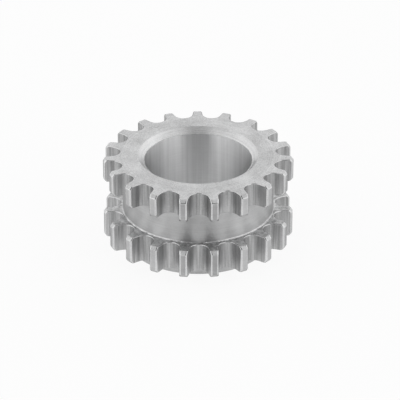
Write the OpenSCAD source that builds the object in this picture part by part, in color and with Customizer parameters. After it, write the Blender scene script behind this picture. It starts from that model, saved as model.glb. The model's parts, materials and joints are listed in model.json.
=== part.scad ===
// Crankshaft gear: two toothed rings for bush chains and the hub between them, turned from one piece.
// The axis is Z. The hub's lower face lies on Z = 0, and the narrower ring is on top.
// On both rings one tooth points along +Y and one tooth gap faces -Y.

/* [Teeth] */
// Number of teeth on each ring
teeth = 19; // [18:1:36]
// Chain pitch, from pin to pin
chain_pitch = 8; // [7.6:0.05:12.7]
// Radius of the seat that a chain bush rests in
seat_r = 2.6; // [2.3:0.05:2.9]
// Angle between a tooth's flank and the middle line of the gap beside it
flank_angle = 17; // [10:0.5:21]
// Height of the tooth tips above the pitch circle
tip_height = 1.95; // [1.4:0.05:2.4]
// Rounding of the long corners of a tooth's tip
tip_corner_r = 0.5; // [0.1:0.05:0.7]
// How far the chamfer at a tip's ends goes in toward the axis
tip_chamfer_depth = 0.7; // [0.2:0.05:1.1]
// How far the chamfer at a tip's ends runs along the axis
tip_chamfer_run = 0.9; // [0.2:0.05:1.6]

/* [Rings] */
// Width of the upper ring
upper_ring_w = 6.8; // [4:0.1:12]
// Width of the lower ring
lower_ring_w = 8.2; // [4:0.1:14]
// Width of the groove between the rings
groove_w = 9.2; // [4:0.1:20]
// How far the groove's floor lies inside the tooth roots
groove_drop = 0.8; // [0.6:0.05:2]
// Radius of the fillets at both sides of the groove's floor
groove_fillet_r = 0.75; // [0.2:0.05:2]

/* [Hub] */
// Length of the hub below the lower ring
hub_len = 2.1; // [0.8:0.1:10]
// How far the hub's side lies inside the tooth roots
hub_drop = 1.2; // [0.6:0.05:2]
// Chamfer on the hub's lower edge
hub_chamfer = 0.3; // [0.1:0.05:0.7]

/* [Bore] */
// Diameter of the bore that takes the crankshaft
bore_d = 29.6; // [20:0.1:33]
// Chamfer at the bore's upper mouth
upper_bore_chamfer = 1.75; // [0.2:0.05:2.5]
// Chamfer at the bore's lower mouth
lower_bore_chamfer = 1; // [0.2:0.05:2.5]

/* [Hidden] */
$fn = 144;
steel = [0.72, 0.72, 0.73];
// How far a cutting shape runs past the surface that it cuts
cut_margin = 1;
// How far a round shape reaches across a flank, so that the two cross cleanly and don't just touch
flank_overlap = 0.005;

tooth_step = 360 / teeth;
pitch_r = chain_pitch / (2 * sin(tooth_step / 2));
root_r = pitch_r - seat_r;
tip_r = pitch_r + tip_height;
groove_r = root_r - groove_drop;
hub_r = root_r - hub_drop;
bore_r = bore_d / 2;
// A fillet ends where the tooth roots or the middle of the groove begin
fillet_r = min(groove_fillet_r, groove_drop, groove_w / 2);

lower_ring_z = hub_len;
groove_z = lower_ring_z + lower_ring_w;
upper_ring_z = groove_z + groove_w;
height = upper_ring_z + upper_ring_w;

// Where a flank leaves the seat, seen with the gap's middle line along +Y
flank_reach = seat_r - flank_overlap;
flank_x = flank_reach * cos(flank_angle);
flank_y = pitch_r - flank_reach * sin(flank_angle);
mouth_y = tip_r + cut_margin;
mouth_x = flank_x + (mouth_y - flank_y) * tan(flank_angle);
// The flank's distance from the axis, square to the flank
flank_offset = flank_reach - pitch_r * sin(flank_angle);
// The middle of the tip's corner rounding, seen with the flank along +Y
corner_x = flank_offset + tip_corner_r;
corner_y = sqrt(pow(tip_r - tip_corner_r, 2) - pow(corner_x, 2));
corner_reach = (tip_r + cut_margin) / (tip_r - tip_corner_r);

// What is cut away beyond the rounding at one corner of a tooth's tip
module corner_relief() {
    rotate(-flank_angle)
        difference() {
            polygon([
                [flank_offset - tip_corner_r, corner_y],
                [corner_x, corner_y],
                [corner_x, corner_y] * corner_reach,
                [flank_offset - tip_corner_r, corner_y * corner_reach]
            ]);
            translate([corner_x, corner_y])
                circle(r = tip_corner_r + flank_overlap);
        }
}

// Outline of one tooth gap, with its middle line along +Y
module gap_outline() {
    translate([0, pitch_r])
        circle(r = seat_r);
    polygon([
        [-flank_x, flank_y],
        [-mouth_x, mouth_y],
        [mouth_x, mouth_y],
        [flank_x, flank_y]
    ]);
    corner_relief();
    mirror([1, 0])
        corner_relief();
}

// Solid disc from which a ring's teeth are cut, chamfered at the tips
module ring_blank(w) {
    rotate_extrude()
        polygon([
            [0, 0],
            [tip_r - tip_chamfer_depth, 0],
            [tip_r, tip_chamfer_run],
            [tip_r, w - tip_chamfer_run],
            [tip_r - tip_chamfer_depth, w],
            [0, w]
        ]);
}

module toothed_ring(w) {
    difference() {
        ring_blank(w);
        for (k = [0 : teeth - 1])
            rotate([0, 0, (k + 0.5) * tooth_step])
                translate([0, 0, -cut_margin])
                    linear_extrude(height = w + 2 * cut_margin)
                        gap_outline();
    }
}

// Section of one fillet, in the corner between the groove's floor and the lower ring
module fillet_section() {
    difference() {
        square(fillet_r);
        translate([fillet_r, fillet_r])
            circle(r = fillet_r);
    }
}

// Hub below the lower ring and groove floor above it, with their fillets
module hub_body() {
    rotate_extrude()
        union() {
            polygon([
                [0, 0],
                [hub_r - hub_chamfer, 0],
                [hub_r, hub_chamfer],
                [hub_r, lower_ring_z],
                [groove_r, lower_ring_z],
                [groove_r, height],
                [0, height]
            ]);
            translate([groove_r, groove_z])
                fillet_section();
            translate([groove_r, upper_ring_z])
                mirror([0, 1])
                    fillet_section();
        }
}

// Bore with a chamfer at each mouth
module bore_cut() {
    rotate_extrude()
        polygon([
            [0, -cut_margin],
            [bore_r + lower_bore_chamfer + cut_margin, -cut_margin],
            [bore_r, lower_bore_chamfer],
            [bore_r, height - upper_bore_chamfer],
            [bore_r + upper_bore_chamfer + cut_margin, height + cut_margin],
            [0, height + cut_margin]
        ]);
}

module crankshaft_gear() {
    color(steel)
        difference() {
            union() {
                hub_body();
                translate([0, 0, lower_ring_z])
                    toothed_ring(lower_ring_w);
                translate([0, 0, upper_ring_z])
                    toothed_ring(upper_ring_w);
            }
            bore_cut();
        }
}

crankshaft_gear();
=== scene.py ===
import json
import math

import bpy
import numpy as np
from mathutils import Matrix, Vector


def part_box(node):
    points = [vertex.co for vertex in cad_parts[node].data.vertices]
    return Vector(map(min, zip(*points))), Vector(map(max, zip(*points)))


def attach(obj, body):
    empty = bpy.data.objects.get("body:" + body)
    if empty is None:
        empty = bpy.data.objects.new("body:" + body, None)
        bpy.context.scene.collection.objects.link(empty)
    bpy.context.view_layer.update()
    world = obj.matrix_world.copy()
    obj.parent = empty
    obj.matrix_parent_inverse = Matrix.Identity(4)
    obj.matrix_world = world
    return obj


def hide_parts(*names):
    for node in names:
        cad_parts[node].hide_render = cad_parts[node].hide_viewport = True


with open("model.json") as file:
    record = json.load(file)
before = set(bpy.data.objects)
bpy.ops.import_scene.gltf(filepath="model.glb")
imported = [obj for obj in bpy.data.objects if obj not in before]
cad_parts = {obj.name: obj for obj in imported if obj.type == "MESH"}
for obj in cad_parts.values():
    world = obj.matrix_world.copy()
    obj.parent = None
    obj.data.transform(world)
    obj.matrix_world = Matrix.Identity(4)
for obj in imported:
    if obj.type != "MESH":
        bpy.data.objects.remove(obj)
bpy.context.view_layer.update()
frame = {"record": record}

# Crankshaft gear: the detailed gear, a pale studio and the camera.
# The axis is Z. On both rings one tooth points along +Y and one tooth gap faces -Y, toward the camera.
# The gear's sizes are in millimetres, and MM turns them into metres where Blender takes them over.
# The studio floor's and the camera's sizes are in metres.

MM = 0.001
NODE = "crankshaft_gear"
cad_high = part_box(NODE)[1]
bore_mount = next(mount for mount in frame["record"]["mounts"] if mount["name"] == "bore")

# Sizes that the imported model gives; its farthest point along +Y is the tip of a tooth
TIP_R = cad_high.y / MM
HEIGHT = cad_high.z / MM
BORE_R = bore_mount["dims"]["r_mm"]

# Teeth
TEETH = 19
CHAIN_PITCH = 8.0
SEAT_R = 2.6
# Angle between a tooth's flank and the middle line of the gap beside it
FLANK_ANGLE = math.radians(17)
TIP_CORNER_R = 0.5
# How far the chamfer at a tip's ends goes in toward the axis, and how far it runs along it
TIP_CHAMFER_DEPTH = 0.7
TIP_CHAMFER_RUN = 0.9

# Rings, groove and hub, from the bottom up
HUB_LEN = 2.1
LOWER_RING_W = 8.2
GROOVE_W = 9.2
# How far the groove's floor and the hub's side lie inside the tooth roots
GROOVE_DROP = 0.8
HUB_DROP = 1.2
HUB_CHAMFER = 0.3
UPPER_BORE_CHAMFER = 1.75
LOWER_BORE_CHAMFER = 1.0
# Narrow flat ledge that the chamfering tool left at the bore's upper edge
LEDGE_W = 0.2

# Rounding of the edges: along the teeth's outline, between a tip's chamfer and the ring's face or the
# tip's land, at the bore's mouths, at the ledge and on the hub
PROFILE_EDGE_R = 0.25
TIP_FACE_EDGE_R = 0.4
TIP_LAND_EDGE_R = 0.5
BORE_EDGE_R = 0.12
LEDGE_EDGE_R = 0.05
HUB_EDGE_R = 0.1
HUB_FILLET_R = 0.25
# How far the groove's fillets reach out from its floor, and how far along it
FILLET_OUT = 0.36
FILLET_UP = 0.65

# Steps of the mesh along the teeth's outline
SEAT_STEPS = 8
CORNER_STEPS = 5
# Shares of the flank and of the land at which points lie; the outer ones keep the middle flat
FLANK_SHARES = (0.03, 0.5, 0.97, 1.0)
LAND_SHARES = (0.12, 0.5, 1.0)

# Steps of the mesh across the outline, from a ring's face over its edge to the tips' lands
UPPER_FACE_STEPS = 4
LOWER_FACE_STEPS = 3
EDGE_STEPS = 6
CHAMFER_STEPS = 3
LAND_EDGE_STEPS = 4
# Steps of each rounding in the line that the tip's section is read from
PROFILE_STEPS = 12
# Steps of the round stretches
FILLET_STEPS = 7
HUB_FILLET_STEPS = 4
BREAK_STEPS = 3
# Point of the groove's lower fillet where a strip of brighter chamfered steel paints a thin highlight
# line
FOOT_HIGHLIGHT = 2

# Distance from a rounding to the row that keeps the flat beside it flat
SUPPORT = 0.06
# Distance from the corner of a bore's mouth to such a row
MOUTH_SUPPORT = 2 * SUPPORT
# Distance to a point that only gives a line's direction
AWAY = 1
# Less than the step between any two rows
TINY = 1e-6

TOOTH_STEP = 2 * math.pi / TEETH
PITCH_R = CHAIN_PITCH / (2 * math.sin(TOOTH_STEP / 2))
ROOT_R = PITCH_R - SEAT_R
GROOVE_R = ROOT_R - GROOVE_DROP
HUB_R = ROOT_R - HUB_DROP
LOWER_RING_Z = HUB_LEN
GROOVE_Z = LOWER_RING_Z + LOWER_RING_W
UPPER_RING_Z = GROOVE_Z + GROOVE_W

# Corners of the bore's and the hub's section, as (radius, z)
LOW_MOUTH = (BORE_R + LOWER_BORE_CHAMFER, 0)
BORE_LOW = (BORE_R, LOWER_BORE_CHAMFER)
LEDGE_IN = (BORE_R, HEIGHT - UPPER_BORE_CHAMFER + LEDGE_W)
LEDGE_OUT = (BORE_R + LEDGE_W, HEIGHT - UPPER_BORE_CHAMFER + LEDGE_W)
HIGH_MOUTH = (BORE_R + UPPER_BORE_CHAMFER, HEIGHT)
HUB_TOP = (HUB_R, LOWER_RING_Z)
HUB_SIDE = (HUB_R, HUB_CHAMFER)
HUB_FACE = (HUB_R - HUB_CHAMFER, 0)

# Finishes, as indices of the gear's materials. The broken finish is smooth steel on the edge breaks. It
# is brighter than the steel round it, so it paints highlights along the teeth's edges; at the bore's
# ledge, where it is darker than the bore, it paints a dark line
# The cut finish in the gaps is darker than the turned steel. This is partly the cutter's duller finish
# and partly painted shade in the recesses between the teeth
FACED, CUT_PAINTED_SHADE, BORED, GROOVED, BROKEN_PAINTED_LIGHT, CHAMFERED, TIPPED, MOTTLED = range(8)
# Mark of the rounding between a tip's chamfer and its land that gets a painted highlight;
# placed_finishes turns it into finishes, the brighter broken steel on the lands
PAINTED_HIGHLIGHT_EDGE = 8
# What the finish of a strip becomes on the lands of the tips
ON_LAND = {CUT_PAINTED_SHADE: GROOVED, BROKEN_PAINTED_LIGHT: TIPPED, PAINTED_HIGHLIGHT_EDGE: BROKEN_PAINTED_LIGHT}


def turned(points, angle):
    """Points (x, y), or one of them, turned about the origin."""
    c, s = math.cos(angle), math.sin(angle)
    return points @ np.array([[c, s], [-s, c]])


def half_gap(inset, tip_r):
    """Points from the middle of a tooth gap to the middle of the tooth beside it, with the gap along +Y.

    inset moves the outline into the metal, and tip_r is the tip's radius at that height.
    """
    seat = SEAT_R + inset
    seat_turns = np.linspace(0, math.pi / 2 - FLANK_ANGLE, SEAT_STEPS + 1)
    seat_points = np.stack([seat * np.sin(seat_turns), PITCH_R - seat * np.cos(seat_turns)], 1)

    # The flank and the tip's corner, seen with the flank along +Y
    flank_x = seat - PITCH_R * math.sin(FLANK_ANGLE)
    flank_y = PITCH_R * math.cos(FLANK_ANGLE)
    corner_r = TIP_CORNER_R - inset
    corner_x = flank_x + corner_r
    corner_y = math.sqrt((tip_r - corner_r) ** 2 - corner_x ** 2)
    flank = np.stack([
        np.full(len(FLANK_SHARES), flank_x),
        np.interp(FLANK_SHARES, (0, 1), (flank_y, corner_y)),
    ], 1)
    corner_turns = np.linspace(math.pi, math.atan2(corner_y, corner_x), CORNER_STEPS + 1)[1:]
    corner = np.stack([
        corner_x + corner_r * np.cos(corner_turns),
        corner_y + corner_r * np.sin(corner_turns),
    ], 1)
    side = turned(np.vstack([flank, corner]), -FLANK_ANGLE)

    land_start = math.atan2(side[-1, 0], side[-1, 1])
    land_turns = np.interp(LAND_SHARES, (0, 1), (land_start, TOOTH_STEP / 2))
    land = np.stack([tip_r * np.sin(land_turns), tip_r * np.cos(land_turns)], 1)
    return np.vstack([seat_points, side, land])


def tooth_row(inset, tip_r):
    """Angles and radii of one closed line round the gear that follows the teeth."""
    half = half_gap(inset, tip_r)
    turn = np.arctan2(half[:, 0], half[:, 1])
    radius = np.hypot(half[:, 0], half[:, 1])
    turn = np.concatenate([-turn[:0:-1], turn[:-1]])
    radius = np.concatenate([radius[:0:-1], radius[:-1]])
    middles = math.pi / 2 + (np.arange(TEETH) + 0.5) * TOOTH_STEP
    return (middles[:, None] + turn[None, :]).ravel(), np.tile(radius, TEETH)


# Angles of the points in every circular row, which are those of the teeth's outline
BASE_TURNS = tooth_row(0, TIP_R)[0]


class Skin:
    """The gear's skin as a list of closed rows, each with the finish of the strip that follows it."""

    def __init__(self):
        self.rows = []
        self.finishes = []

    def add(self, turns, radii, z, finish):
        """A row of points at the given angles and radii, all at the height z."""
        z = np.full(len(turns), z)
        self.rows.append(np.stack([radii * np.cos(turns), radii * np.sin(turns), z], 1))
        self.finishes.append(finish)

    def circle(self, radius, z, finish=FACED):
        self.add(BASE_TURNS, np.full(len(BASE_TURNS), radius), z, finish)

    def circles(self, points, finish=FACED):
        """A circular row for each point (radius, z)."""
        for radius, z in points:
            self.circle(radius, z, finish)

    def face(self, circle_r, outline, z, shares, finish):
        """Rows across a flat ring face; a share of 0 is the circle and 1 is the teeth's outline."""
        turns, radii = outline
        for share in shares:
            self.add(
                BASE_TURNS + (turns - BASE_TURNS) * share,
                circle_r + (radii - circle_r) * share,
                z,
                finish,
            )


def arc(centre, radii, start, end, steps):
    """Points (radius, z) on a part of an ellipse; the angles are in degrees from the outward way."""
    turns = np.radians(np.linspace(start, end, steps + 1))
    return [(centre[0] + radii[0] * math.cos(t), centre[1] + radii[1] * math.sin(t)) for t in turns]


def rounded(before, corner, after, radius, steps):
    """Points (radius, z) of an arc that takes the corner off the bend between two straight lines."""
    before, corner, after = (np.array(point, float) for point in (before, corner, after))
    back = (before - corner) / np.linalg.norm(before - corner)
    ahead = (after - corner) / np.linalg.norm(after - corner)
    half = math.acos(back @ ahead) / 2
    reach = radius / math.tan(half)
    middle = corner + (back + ahead) / np.linalg.norm(back + ahead) * radius / math.sin(half)
    first = corner + back * reach - middle
    last = corner + ahead * reach - middle
    bend = math.atan2(first[0] * last[1] - first[1] * last[0], first @ last)
    return [tuple(middle + turned(first, turn)) for turn in np.linspace(0, bend, steps + 1)]


def tip_profile():
    """Radii of a tip's section and their depths below the ring's face, from the face to the land."""
    face = (TIP_R - TIP_CHAMFER_DEPTH, 0)
    land = (TIP_R, TIP_CHAMFER_RUN)
    inner = (face[0] - AWAY, 0)
    outer = (TIP_R, TIP_CHAMFER_RUN + AWAY)
    points = rounded(inner, face, land, TIP_FACE_EDGE_R, PROFILE_STEPS)
    points += rounded(face, land, outer, TIP_LAND_EDGE_R, PROFILE_STEPS)
    return np.array(points).T


PROFILE_RADII, PROFILE_DEPTHS = tip_profile()
# Depths at which the rounding between a tip's chamfer and its land begins and ends
LAND_EDGE_START = PROFILE_DEPTHS[PROFILE_STEPS + 1]
LAND_EDGE_END = PROFILE_DEPTHS[-1]


def edge_rows():
    """Depth, inset and tip radius of each row over a ring's edge, from its face down to the lands."""
    turns = np.linspace(0, math.pi / 2, EDGE_STEPS + 1)
    depths = np.concatenate([
        PROFILE_EDGE_R * (1 - np.cos(turns)),
        np.linspace(PROFILE_EDGE_R, LAND_EDGE_START, CHAMFER_STEPS + 1)[1:],
        np.linspace(LAND_EDGE_START, LAND_EDGE_END, LAND_EDGE_STEPS + 1)[1:],
    ])
    left = np.maximum(PROFILE_EDGE_R - depths, 0)
    insets = PROFILE_EDGE_R - np.sqrt(PROFILE_EDGE_R ** 2 - left ** 2)
    tip_radii = np.interp(depths, PROFILE_DEPTHS, PROFILE_RADII)
    return list(zip(depths, insets, tip_radii))


def edge_finish(depth, land_edge):
    """Finish of the strip below a row on a ring's upper edge; land_edge is that of the last rounding."""
    if depth < PROFILE_EDGE_R - TINY:
        # The rounding along the outline gets the broken steel, a painted highlight along the edge
        return BROKEN_PAINTED_LIGHT
    if depth < LAND_EDGE_START - TINY:
        return TIPPED
    if depth < LAND_EDGE_END - TINY:
        # On the upper ring this rounding is marked for a painted highlight on the lands
        return land_edge
    return CUT_PAINTED_SHADE


def add_ring(skin, low, high, upper_r, lower_r, upper_finish, land_edge):
    """One toothed ring, from its upper face out, down the teeth and in across its lower face.

    The two faces start at the circles upper_r and lower_r.
    """
    edge = edge_rows()
    outline = tooth_row(PROFILE_EDGE_R + SUPPORT, PROFILE_RADII[0] - SUPPORT)
    skin.face(upper_r, outline, high, np.linspace(0, 1, UPPER_FACE_STEPS + 1), upper_finish)
    for depth, inset, tip_r in edge:
        skin.add(*tooth_row(inset, tip_r), high - depth, edge_finish(depth, land_edge))
    for depth, inset, tip_r in reversed(edge):
        skin.add(*tooth_row(inset, tip_r), low + depth, CUT_PAINTED_SHADE if depth > TINY else FACED)
    skin.face(lower_r, outline, low, np.linspace(1, 0, LOWER_FACE_STEPS + 1), FACED)


def add_bore(skin):
    """The bore, from its lower edge up over the ledge and out over the upper mouth."""
    beyond = (HIGH_MOUTH[0] + AWAY, HEIGHT)
    skin.circles(rounded(LOW_MOUTH, BORE_LOW, LEDGE_IN, BORE_EDGE_R, BREAK_STEPS), BORED)
    # The ledge and its inner rounding get the broken steel, darker than the bore's, which paints a dark
    # line at the bore's upper edge
    skin.circles(rounded(BORE_LOW, LEDGE_IN, LEDGE_OUT, LEDGE_EDGE_R, BREAK_STEPS), BROKEN_PAINTED_LIGHT)
    skin.circles(rounded(LEDGE_IN, LEDGE_OUT, HIGH_MOUTH, LEDGE_EDGE_R, BREAK_STEPS), CHAMFERED)
    skin.circles(rounded(LEDGE_OUT, HIGH_MOUTH, beyond, BORE_EDGE_R, BREAK_STEPS))
    skin.circle(HIGH_MOUTH[0] + MOUTH_SUPPORT, HEIGHT)


def add_groove(skin):
    """The groove's two fillets, without the circles that the faces of the rings already have."""
    centre_r = GROOVE_R + FILLET_OUT
    radii = (FILLET_OUT, FILLET_UP)
    head = arc((centre_r, UPPER_RING_Z - FILLET_UP), radii, 90, 180, FILLET_STEPS)
    foot = arc((centre_r, GROOVE_Z + FILLET_UP), radii, 180, 270, FILLET_STEPS)
    skin.circles(head[1:], GROOVED)
    skin.circles(foot[:FOOT_HIGHLIGHT], GROOVED)
    # One strip of the brighter chamfered steel paints a thin highlight line round the fillet
    skin.circle(*foot[FOOT_HIGHLIGHT], CHAMFERED)
    skin.circles(foot[FOOT_HIGHLIGHT + 1:-1], MOTTLED)


def add_hub(skin):
    """The hub below the lower ring, down its side and in over its face to the bore's lower chamfer."""
    beyond = (HUB_R + AWAY, LOWER_RING_Z)
    skin.circles(rounded(beyond, HUB_TOP, HUB_SIDE, HUB_FILLET_R, HUB_FILLET_STEPS), GROOVED)
    skin.circles(rounded(HUB_TOP, HUB_SIDE, HUB_FACE, HUB_EDGE_R, BREAK_STEPS), GROOVED)
    skin.circles(rounded(HUB_SIDE, HUB_FACE, LOW_MOUTH, HUB_EDGE_R, BREAK_STEPS))
    skin.circle(HUB_FACE[0] - HUB_EDGE_R - SUPPORT, 0)
    skin.circle(LOW_MOUTH[0] + MOUTH_SUPPORT, 0)
    skin.circles(rounded(HUB_FACE, LOW_MOUTH, BORE_LOW, BORE_EDGE_R, BREAK_STEPS))


def gear_skin():
    """All rows of the gear, up the bore, out over the top and down the outside."""
    skin = Skin()
    hub_corner_r = HUB_R + HUB_FILLET_R + SUPPORT
    add_bore(skin)
    add_ring(skin, UPPER_RING_Z, HEIGHT, GROOVE_R, GROOVE_R + FILLET_OUT, FACED, PAINTED_HIGHLIGHT_EDGE)
    add_groove(skin)
    add_ring(skin, LOWER_RING_Z, GROOVE_Z, GROOVE_R + FILLET_OUT, hub_corner_r, MOTTLED, TIPPED)
    add_hub(skin)
    return skin


def strip_quads(row_count):
    """Corners of the quads between each row and the next, and the row and column of each quad."""
    count = len(BASE_TURNS)
    row, column = (index.ravel() for index in np.indices((row_count, count)))
    next_row = (row + 1) % row_count
    next_column = (column + 1) % count
    corners = ((row, column), (row, next_column), (next_row, next_column), (next_row, column))
    return np.stack([r * count + c for r, c in corners], 1), row, column


def placed_finishes(finish, column):
    """Finish of each quad, from that of its strip and its place between two teeth's middles.

    In the gaps what isn't an edge is cut, and the long corners of the tips are broken: their brighter
    steel paints a highlight along them.
    """
    per_gap = len(BASE_TURNS) // TEETH
    place = column % per_gap
    step = np.minimum(place, per_gap - 1 - place)
    on_land = step < len(LAND_SHARES)
    on_corner = ~on_land & (step < len(LAND_SHARES) + CORNER_STEPS)
    on_tooth = np.isin(finish, (CUT_PAINTED_SHADE, TIPPED, PAINTED_HIGHLIGHT_EDGE))
    placed = finish.copy()
    for old, new in ON_LAND.items():
        placed[on_land & (finish == old)] = new
    placed[on_corner & on_tooth] = BROKEN_PAINTED_LIGHT
    # The gaps' walls get the darker cut steel, partly painted shade
    placed[~on_land & ~on_corner & on_tooth] = CUT_PAINTED_SHADE
    return placed


def gear_mesh():
    """The skin's rows joined into one closed mesh of quads."""
    skin = gear_skin()
    points = np.vstack(skin.rows) * MM
    quads, row, column = strip_quads(len(skin.rows))
    mesh = bpy.data.meshes.new("gear")
    mesh.from_pydata(points.tolist(), [], quads.tolist())
    finish = placed_finishes(np.array(skin.finishes)[row], column)
    mesh.polygons.foreach_set("material_index", finish.astype(np.int32))
    mesh.shade_smooth()
    mesh.update()
    return mesh


class Nodes:
    """A small helper that makes and links shader nodes."""

    def __init__(self, tree):
        self.tree = tree
        tree.nodes.clear()

    def make(self, kind, inputs=None, **settings):
        """A new node; each input is a number or colour, or the socket that feeds it."""
        node = self.tree.nodes.new("ShaderNode" + kind)
        for name, value in settings.items():
            setattr(node, name, value)
        for name, value in (inputs or {}).items():
            socket = node.inputs[name]
            if isinstance(value, bpy.types.NodeSocket):
                self.tree.links.new(value, socket)
            else:
                socket.default_value = value
        return node

    def math(self, operation, *values):
        return self.make("Math", dict(enumerate(values)), operation=operation).outputs[0]

    def weigh(self, *parts):
        """Sum of values, each times its share; parts are pairs (share, value)."""
        shared = [self.math("MULTIPLY", value, share) for share, value in parts]
        total = shared[0]
        for part in shared[1:]:
            total = self.math("ADD", total, part)
        return total

    def noise(self, vector, scale, detail=2.0, roughness=0.5):
        inputs = {"Vector": vector, "Scale": scale, "Detail": detail, "Roughness": roughness}
        return self.make("TexNoise", inputs).outputs["Fac"]

    def mix(self, share, first, second):
        """Mix of two numbers, which the node's inputs 2 and 3 hold."""
        return self.make("Mix", {0: share, 2: first, 3: second}, data_type="FLOAT").outputs[0]

    def mix_colours(self, share, first, second):
        """Mix of two colours, which the node's inputs 6 and 7 hold."""
        return self.make("Mix", {0: share, 6: first, 7: second}, data_type="RGBA").outputs[2]

    def spread(self, value, low, high, new_low=0.0, new_high=1.0):
        """The value with the range from low to high spread over the new range."""
        inputs = {"Value": value, "From Min": low, "From Max": high}
        inputs.update({"To Min": new_low, "To Max": new_high})
        return self.make("MapRange", inputs).outputs["Result"]

    def drawn_out(self, place, share):
        """The place with its Z scaled by share, so that what is laid on it is drawn out along Z."""
        return self.make("Mapping", {"Vector": place, "Scale": (1.0, 1.0, share)}).outputs[0]


# Colour of bare steel, as shares of its brightness
STEEL_HUE = (0.997, 1.0, 1.004)
# Roughness of a finish's darkest and lightest shade, as shares of the finish's own
DARK_ROUGHNESS = 1.12
LIGHT_ROUGHNESS = 0.9
# A quarter turn of the shader's anisotropy, which it counts in full turns
ANISOTROPY_TURN = 0.25

# How often the marks of a finish repeat in a metre
GRAIN = 3600.0
COARSE_GRAIN = 2600.0
CLOUDS = 170.0
LUMPS = 750.0
STREAKS = 2400.0
WIDE_STREAKS = 850.0
HONING_LINES = 700.0
# Scale of the tool marks along X, so that they change slowly round the gear; across them it is 1 / MM
MARKS_DRIFT = 25.0
# Share of their scale that streaks and honing lines keep along Z
STREAKS_ALONG = 0.035
HONING_ALONG = 0.01
# Ranges of a noise that are spread over all shades from dark to light
MIXED_RANGE = (0.36, 0.64)
CUT_RANGE = (0.38, 0.66)
HONING_RANGE = (0.4, 0.6)


def turned_pattern(nodes, place, marks, grain, clouds, per_mm=4.0):
    """Fine tool marks round the axis, with a grain and soft cloudy patches.

    marks, grain and clouds are their shares, and per_mm is how often the marks repeat in a millimetre.
    """
    x, y, z = nodes.make("SeparateXYZ", {"Vector": place}).outputs
    squares = [nodes.math("MULTIPLY", way, way) for way in (x, y)]
    radius = nodes.math("SQRT", nodes.math("ADD", *squares))
    rings = nodes.make("CombineXYZ", {
        "X": nodes.math("MULTIPLY", radius, 1 / MM),
        "Y": nodes.math("MULTIPLY", z, 1 / MM),
        "Z": nodes.math("MULTIPLY", x, MARKS_DRIFT),
    })
    mark_noise = nodes.noise(rings.outputs[0], per_mm, detail=3.0, roughness=0.6)
    grain_noise = nodes.noise(place, GRAIN, roughness=0.6)
    cloud_noise = nodes.noise(place, CLOUDS, detail=3.0, roughness=0.6)
    mixed = nodes.weigh((marks, mark_noise), (grain, grain_noise), (clouds, cloud_noise))
    return nodes.spread(mixed, *MIXED_RANGE), nodes.math("ADD", mark_noise, grain_noise)


def faced_pattern(nodes, place):
    """Wide tool marks and a strong grain on the flat sides."""
    return turned_pattern(nodes, place, marks=0.2, grain=0.5, clouds=0.3, per_mm=3.0)


def chamfered_pattern(nodes, place):
    """Wide tool marks under an even grain round the bore's mouth."""
    return turned_pattern(nodes, place, marks=0.35, grain=0.4, clouds=0.25, per_mm=3.0)


def broken_pattern(nodes, place):
    """A smooth finish with faint patches, for the softened edges and the tips."""
    return turned_pattern(nodes, place, marks=0.2, grain=0.3, clouds=0.5)


def grooved_pattern(nodes, place):
    """The marks of a turning tool, plainer than on a faced side."""
    return turned_pattern(nodes, place, marks=0.35, grain=0.25, clouds=0.4)


def bored_pattern(nodes, place):
    """Fine marks round the bore, crossed by faint honing lines that run along it."""
    shade, height = turned_pattern(nodes, place, marks=0.4, grain=0.2, clouds=0.4)
    lines = nodes.noise(nodes.drawn_out(place, HONING_ALONG), HONING_LINES, detail=4.0, roughness=0.75)
    shade = nodes.mix(share=0.6, first=shade, second=nodes.spread(lines, *HONING_RANGE))
    return shade, nodes.weigh((0.06, height), (1.5, lines))


def mottled_pattern(nodes, place):
    """A rough side with shallow lumps and dull patches."""
    lumps = nodes.noise(place, LUMPS, roughness=0.55)
    grain = nodes.noise(place, COARSE_GRAIN, roughness=0.6)
    mixed = nodes.weigh((0.6, lumps), (0.4, grain))
    return nodes.spread(mixed, *MIXED_RANGE), nodes.weigh((4.0, lumps), (1.0, grain))


def cut_pattern(nodes, place):
    """Streaks along the axis, as the cutter leaves them on flanks and seats."""
    along = nodes.drawn_out(place, STREAKS_ALONG)
    streaks = nodes.noise(along, STREAKS, roughness=0.6)
    wide = nodes.noise(along, WIDE_STREAKS)
    grain = nodes.noise(place, GRAIN, roughness=0.6)
    mixed = nodes.weigh((0.45, streaks), (0.4, wide), (0.2, grain))
    return nodes.spread(mixed, *CUT_RANGE), nodes.weigh((1.0, streaks), (1.5, wide))


def steel(name, pattern, base, contrast, depth, roughness, anisotropy=0.0, edge=1.0):
    """Bare steel. pattern(nodes, place) gives the shade and the height of its marks.

    base is the mean brightness, contrast is the share by which the shades differ from it, depth is that
    of the marks in millimetres, and edge is how bright the steel is where it is seen at a low angle.
    """
    material = bpy.data.materials.new(name)
    material.use_nodes = True
    nodes = Nodes(material.node_tree)
    place = nodes.make("TexCoord").outputs["Object"]
    shade, height = pattern(nodes, place)
    dark = (*[hue * base * (1 - contrast) for hue in STEEL_HUE], 1)
    light = (*[hue * base * (1 + contrast) for hue in STEEL_HUE], 1)
    bump = nodes.make("Bump", {"Height": height, "Distance": depth * MM, "Strength": 1.0})
    inputs = {
        "Base Color": nodes.mix_colours(shade, dark, light),
        "Metallic": 1.0,
        "Roughness": nodes.spread(shade, 0, 1, roughness * DARK_ROUGHNESS, roughness * LIGHT_ROUGHNESS),
        "Anisotropic": anisotropy,
        "Specular Tint": (edge, edge, edge, 1),
        "Normal": bump.outputs[0],
    }
    if anisotropy:
        inputs["Anisotropic Rotation"] = ANISOTROPY_TURN
        inputs["Tangent"] = nodes.make("Tangent", direction_type="RADIAL", axis="Z").outputs[0]
    shader = nodes.make("BsdfPrincipled", inputs)
    nodes.make("OutputMaterial", {"Surface": shader.outputs[0]})
    return material


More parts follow.
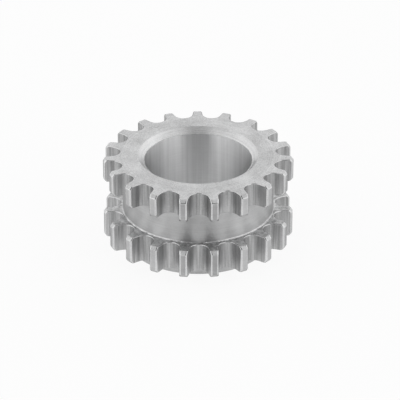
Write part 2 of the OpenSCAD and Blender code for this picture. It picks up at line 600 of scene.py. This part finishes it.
def steels():
    """The gear's finishes, in the order of their indices."""
    return (
        steel(
            "steel_faced", faced_pattern,
            base=0.68, contrast=0.253, depth=0.018, roughness=0.55, anisotropy=0.2,
        ),
        # Darker than the turned steel: partly the cutter's duller finish, partly painted shade between
        # the teeth
        steel(
            "steel_cut", cut_pattern,
            base=0.45, contrast=0.32, depth=0.03, roughness=0.5,
        ),
        steel(
            "steel_bored", bored_pattern,
            base=0.88, contrast=0.11, depth=0.018, roughness=0.36, anisotropy=1.0, edge=0.1,
        ),
        steel(
            "steel_grooved", grooved_pattern,
            base=0.54, contrast=0.11, depth=0.0054, roughness=0.42, anisotropy=0.9, edge=0.5,
        ),
        # Smooth steel, brighter than the cut steel: it paints highlights along the edges, and a dark
        # line at the bore's ledge
        steel(
            "steel_broken", broken_pattern,
            base=0.64, contrast=0.132, depth=0.0054, roughness=0.22, edge=0.1,
        ),
        steel(
            "steel_chamfered", chamfered_pattern,
            base=0.68, contrast=0.22, depth=0.027, roughness=0.3, anisotropy=0.6,
        ),
        steel(
            "steel_tipped", broken_pattern,
            base=0.7, contrast=0.132, depth=0.0054, roughness=0.7,
        ),
        steel(
            "steel_mottled", mottled_pattern,
            base=0.59, contrast=0.35, depth=0.09, roughness=0.42,
        ),
    )


def build_gear():
    """The whole gear, in place of the plain solid."""
    mesh = gear_mesh()
    for material in steels():
        mesh.materials.append(material)
    gear = bpy.data.objects.new("gear_body", mesh)
    bpy.context.scene.collection.objects.link(gear)
    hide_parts(NODE)
    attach(gear, "root")


# The studio's floor: its radius in metres, the sides of its rim and the brightness of its paint
FLOOR_RADIUS = 1.2
FLOOR_SIDES = 96
FLOOR_PAINT = 0.97
# Share of plain white on the floor as the camera sees it; the rest is paint and takes the shadow
FLOOR_WHITE = 0.9
# The same share as the steel's reflections see it: under the gear, beside it and far from it. The full
# white beside the gear is a painted pool of light in the reflections, which dims far off
FLOOR_UNDER = 0.05
FLOOR_NEAR = 1.0
FLOOR_FAR = 0.6
# Distances from the axis, in millimetres, over which the floor passes from under the gear to beside it
UNDER_PASS = (BORE_R, (HUB_R + TIP_R) / 2)
# The same for the pass from beside the gear to far from it, which lies beyond the teeth
FAR_PASS = (TIP_R + 5, TIP_R + 15)


def floor_material():
    """White paint, of which the camera and the steel's reflections see a part as plain white; beside the
    gear the reflections see a painted pool of light.
    """
    material = bpy.data.materials.new("floor_white")
    material.use_nodes = True
    nodes = Nodes(material.node_tree)
    paint = nodes.make("BsdfDiffuse", {"Color": (FLOOR_PAINT, FLOOR_PAINT, FLOOR_PAINT, 1)})
    white = nodes.make("Emission", {"Color": (1, 1, 1, 1), "Strength": 1.0})
    path = nodes.make("LightPath")
    direct = nodes.math("MULTIPLY", path.outputs["Is Camera Ray"], FLOOR_WHITE)
    mirrored = nodes.math("MAXIMUM", path.outputs["Is Glossy Ray"], path.outputs["Is Transmission Ray"])
    place = nodes.make("TexCoord").outputs["Object"]
    reach = nodes.make("VectorMath", {0: place}, operation="LENGTH").outputs["Value"]
    # A painted pool of light for the reflections: full white beside the gear, dimmer far from it
    near = nodes.spread(reach, UNDER_PASS[0] * MM, UNDER_PASS[1] * MM, FLOOR_UNDER, FLOOR_NEAR)
    far = nodes.spread(reach, FAR_PASS[0] * MM, FAR_PASS[1] * MM, FLOOR_NEAR, FLOOR_FAR)
    mirrored = nodes.math("MULTIPLY", mirrored, nodes.math("MINIMUM", near, far))
    share = nodes.math("MAXIMUM", direct, mirrored)
    mix = nodes.make("MixShader", {0: share, 1: paint.outputs[0], 2: white.outputs[0]})
    nodes.make("OutputMaterial", {"Surface": mix.outputs[0]})
    return material


def build_floor():
    """A white disc that the gear stands on."""
    turns = np.linspace(0, 2 * math.pi, FLOOR_SIDES, endpoint=False)
    rim = [(FLOOR_RADIUS * math.cos(t), FLOOR_RADIUS * math.sin(t), 0) for t in turns]
    mesh = bpy.data.meshes.new("floor")
    mesh.from_pydata(rim, [], [tuple(range(FLOOR_SIDES))])
    mesh.materials.append(floor_material())
    floor = bpy.data.objects.new("floor", mesh)
    bpy.context.scene.collection.objects.link(floor)


# The studio is a white tent round the gear, with a dark opening in front and a half dark curtain at
# each side of it. These are the strengths of its white light.
TENT_SIDES = 1.28
TENT_BACK = 0.95
BACK_TOP = 0.5
TENT_TOP = 0.8
OPENING = 0.13
# How much of the opening's dark a curtain has
CURTAIN_SHARE = 0.4
# Half widths of the opening without and with its curtains, and the width of the passage beside each
OPENING_HALF = math.radians(28)
CURTAIN_HALF = math.radians(37)
OPENING_SOFT = math.radians(1)
# Ranges of a direction's z, as the sine of its rise, over which the back wall, the whole tent and the
# opening pass into what is above them
BACK_FADE = (0.45, 0.7)
TENT_FADE = (0.4, 0.85)
OPENING_TOP = (0.85, 0.97)
# Range of a direction's y over which the sides pass into the back
SIDES_FADE = (0.3, 0.9)


def build_world():
    """A plain white tent, brightest at the sides, with a dark opening in front."""
    world = bpy.data.worlds.new("studio")
    bpy.context.scene.world = world
    world.use_nodes = True
    nodes = Nodes(world.node_tree)
    direction = nodes.make("TexCoord").outputs["Generated"]
    x, y, z = nodes.make("SeparateXYZ", {"Vector": direction}).outputs
    turn = nodes.math("ARCTAN2", x, nodes.math("MULTIPLY", y, -1.0))
    across = nodes.math("ABSOLUTE", turn)
    gap = nodes.spread(across, OPENING_HALF, OPENING_HALF + OPENING_SOFT, 1.0 - CURTAIN_SHARE, 0.0)
    curtain = nodes.spread(across, CURTAIN_HALF, CURTAIN_HALF + OPENING_SOFT, CURTAIN_SHARE, 0.0)
    open_across = nodes.math("ADD", gap, curtain)
    open_up = nodes.spread(z, *OPENING_TOP, 1.0, 0.0)
    opening = nodes.math("MULTIPLY", open_across, open_up)
    back = nodes.spread(z, *BACK_FADE, TENT_BACK, BACK_TOP)
    wall = nodes.mix(nodes.spread(y, *SIDES_FADE), TENT_SIDES, back)
    tent = nodes.mix(nodes.spread(z, *TENT_FADE), wall, TENT_TOP)
    strength = nodes.mix(opening, tent, OPENING)
    background = nodes.make("Background", {"Color": (1, 1, 1, 1), "Strength": strength})
    nodes.make("OutputWorld", {"Surface": background.outputs[0]})


# Camera, as fitted to the photograph; its lens and sensor are in millimetres
CAMERA_TURN = math.radians(-0.495)
CAMERA_RISE = math.radians(29.59)
CAMERA_DISTANCE = 0.7564
CAMERA_TARGET = Vector((0.0005, 0, 0.01183))
CAMERA_LENS = 244.9
CAMERA_SENSOR = 36
CAMERA_CLIP_START = 0.01


def build_camera():
    """The camera in front of the gear and above it, aimed at its middle."""
    data = bpy.data.cameras.new("camera")
    data.lens = CAMERA_LENS
    data.sensor_width = CAMERA_SENSOR
    data.clip_start = CAMERA_CLIP_START
    camera = bpy.data.objects.new("camera", data)
    bpy.context.scene.collection.objects.link(camera)
    back = Vector((0, -math.cos(CAMERA_RISE), math.sin(CAMERA_RISE)))
    turn = Matrix.Rotation(CAMERA_TURN, 3, "Z")
    camera.location = turn @ (CAMERA_TARGET + back * CAMERA_DISTANCE)
    camera.rotation_euler = (turn @ -back).to_track_quat("-Z", "Y").to_euler()
    bpy.context.scene.camera = camera


build_gear()
build_floor()
build_world()
build_camera()
bpy.context.scene.view_settings.view_transform = "Standard"
